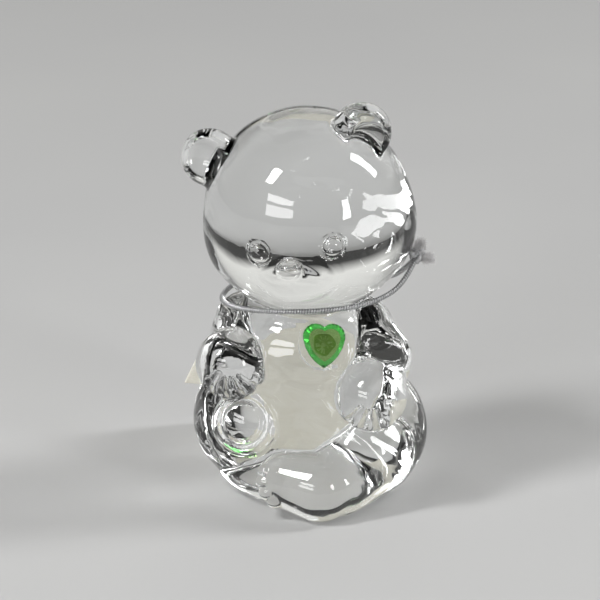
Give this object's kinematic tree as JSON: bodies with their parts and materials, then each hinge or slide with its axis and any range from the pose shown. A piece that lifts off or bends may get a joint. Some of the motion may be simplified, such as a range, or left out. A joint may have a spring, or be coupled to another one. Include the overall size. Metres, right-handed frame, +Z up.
{
  "type": "glass figurine",
  "caption": "Sitting bear cub of clear pressed glass with a green heart stone on its chest, a silver elastic cord round its neck and a blank card hang tag behind it.",
  "frame": {"origin": "middle of the glass's outline, on its ground base", "axes": "+Z up, the bear faces -Y, its left side is at +X"},
  "size_m": [0.061, 0.0675, 0.0914],
  "materials": {
    "clear_glass": "polished clear lead crystal",
    "green_gem": "polished transparent green stone",
    "glue": "cured clear glue, slightly yellow",
    "elastic": "white rubber thread",
    "silver_yarn": "silver metallised yarn",
    "card": "matt cream card"
  },
  "bodies": {
    "figurine": {"glass_bear": "clear_glass", "heart_gem": "green_gem", "gem_adhesive": "glue"},
    "cord": {"cord_core": "elastic", "cord_winding": "silver_yarn", "cord_knot": "silver_yarn", "cord_tail_upper": "silver_yarn", "cord_tail_side": "silver_yarn"},
    "tag": {"hang_tag": "card"}
  },
  "joints": [
    {"name": "cord_turn", "type": "hinge", "parent": "figurine", "child": "cord", "pos_m": [0.00066, 0.00171, 0.045], "axis": [0, 0, 1], "range_deg": [-20, 15]},
    {"name": "tag_swing", "type": "hinge", "parent": "cord", "child": "tag", "pos_m": [-0.00909, 0.0177, 0.04449], "axis": [0.8871, 0.4597, 0.0409], "range_deg": [0, 75]}
  ]
}
